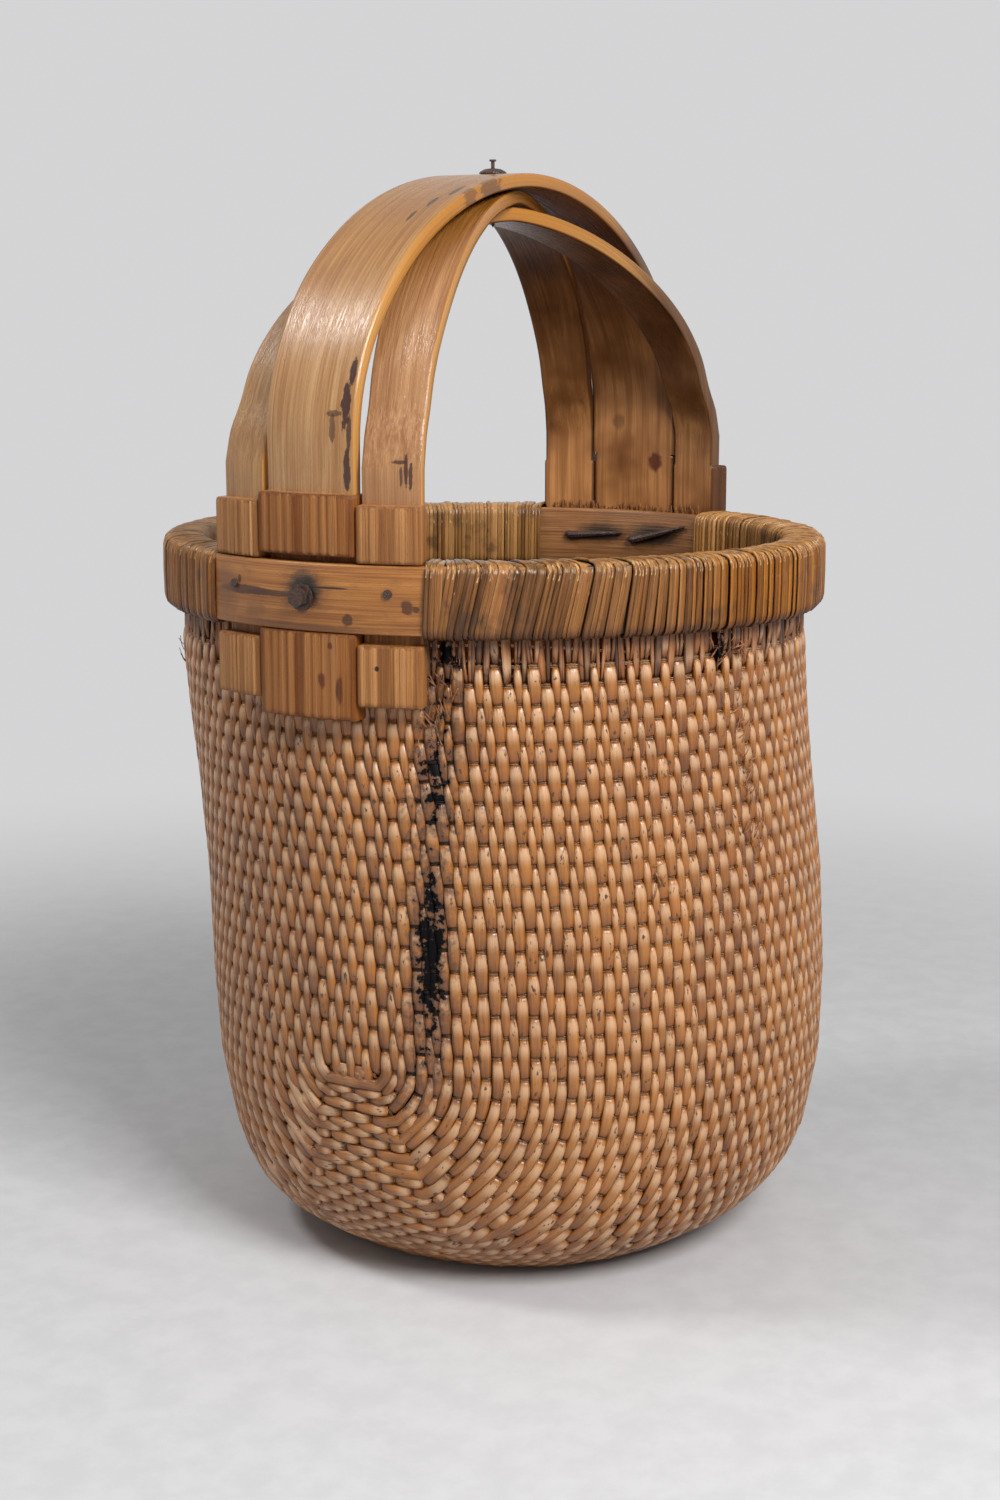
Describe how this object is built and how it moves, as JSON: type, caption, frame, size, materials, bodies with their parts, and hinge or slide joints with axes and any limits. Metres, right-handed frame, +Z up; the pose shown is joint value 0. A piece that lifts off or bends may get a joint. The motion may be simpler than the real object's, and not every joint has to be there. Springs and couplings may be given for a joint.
{
  "type": "rice basket",
  "caption": "Round woven willow basket with a bound wooden rim and an arched handle of bent slats crossing at the crown, for carrying and storing grain.",
  "frame": {"origin": "the middle of the outline on the floor, under the crown of the handle", "axes": "+Z up, +X along the span of the handle from its near leg to its far leg, -Y towards the front"},
  "size_m": [0.3781, 0.3763, 0.601],
  "materials": {
    "willow": "bare woven willow rods with hemp wefts, satin",
    "rattan": "split rattan strip, worn glossy",
    "hoop_wood": "bent wood, oiled and worn",
    "slat_wood": "steam-bent wood, polished by hands",
    "iron": "dark rusted iron"
  },
  "bodies": {
    "root": {"woven_body": "willow", "outer_rim_hoop": "hoop_wood", "inner_rim_hoop": "hoop_wood", "rim_binding_front": "rattan", "rim_binding_back": "rattan", "handle_centre_slat": "slat_wood", "handle_upper_cross_slat": "slat_wood", "handle_lower_cross_slat": "slat_wood", "near_leg_bolt": "iron", "near_leg_bolt_washer": "iron", "near_leg_nut": "iron", "near_leg_nail_front": "iron", "near_leg_nail_back": "iron", "far_leg_clenched_nail_front": "iron", "far_leg_clenched_nail_back": "iron", "crown_nail": "iron", "crown_washer": "iron"}
  },
  "joints": []
}
